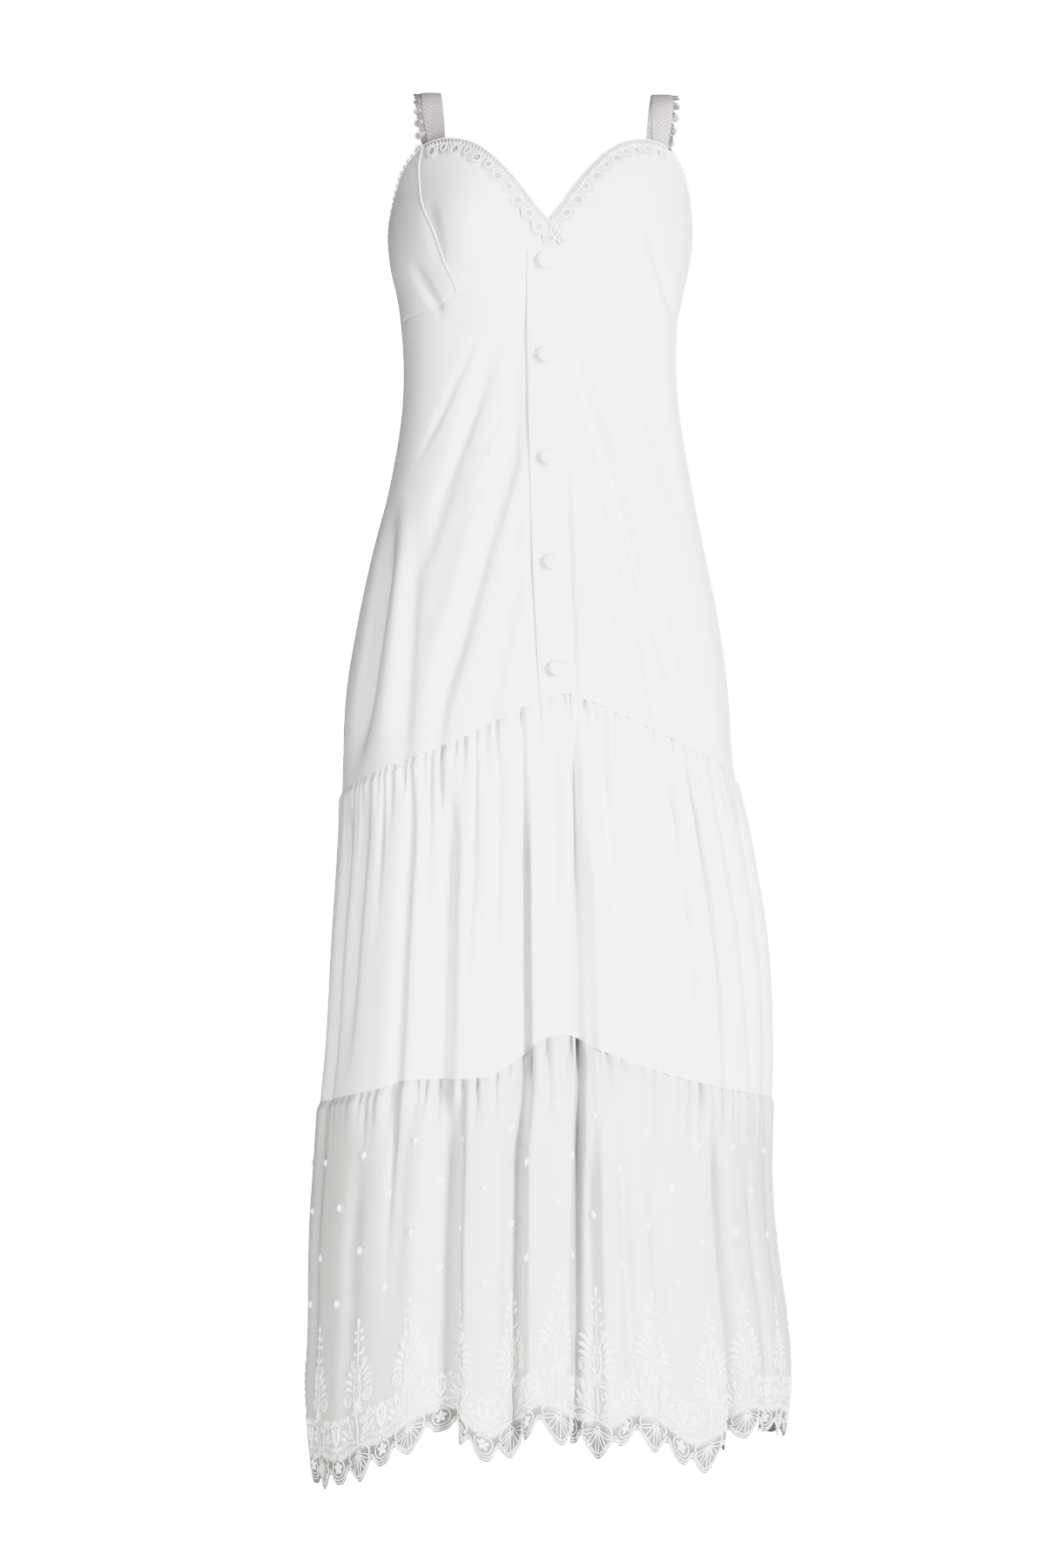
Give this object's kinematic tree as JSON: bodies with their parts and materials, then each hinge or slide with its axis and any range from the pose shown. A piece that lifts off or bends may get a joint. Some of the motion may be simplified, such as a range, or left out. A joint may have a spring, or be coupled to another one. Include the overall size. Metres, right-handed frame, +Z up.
{
  "type": "maxi dress",
  "caption": "Sleeveless ankle-length dress with a sweetheart bodice, shoulder straps, lace edging, a button band and two gathered tiers with a scalloped embroidered hem.",
  "frame": {"origin": "between the two shoulder straps, level with their tops, over the point of the neckline, where the wearer's shoulders hold the dress", "axes": "+Z up along the dress, -Y out of its front, +X to the wearer's left"},
  "size_m": [0.4809, 0.4102, 1.3966],
  "materials": {
    "main_cloth": "matt plain-woven white cotton",
    "tier_cloth": "matt plain-woven white cotton, gathered",
    "hem_cloth": "fine white net embroidered in white cord",
    "lace": "white cotton lace with ring flowers",
    "strap_cloth": "white cotton band with a faint figured weave",
    "button_cloth": "cloth-covered buttons"
  },
  "bodies": {
    "root": {"cup_front_right": "main_cloth", "cup_side_right": "main_cloth", "skirt_front_right": "main_cloth", "strap_right": "strap_cloth", "neck_lace_right": "lace", "strap_lace_right": "lace", "armhole_lace_right": "lace", "cup_front_left": "main_cloth", "cup_side_left": "main_cloth", "skirt_front_left": "main_cloth", "strap_left": "strap_cloth", "neck_lace_left": "lace", "strap_lace_left": "lace", "armhole_lace_left": "lace", "bodice_back": "main_cloth", "skirt_back": "main_cloth", "button_band": "main_cloth", "tier_1_front": "tier_cloth", "tier_2_front": "hem_cloth", "tier_1_back": "tier_cloth", "tier_2_back": "hem_cloth", "button_1": "button_cloth", "button_2": "button_cloth", "button_3": "button_cloth", "button_4": "button_cloth", "button_5": "button_cloth"}
  },
  "joints": []
}
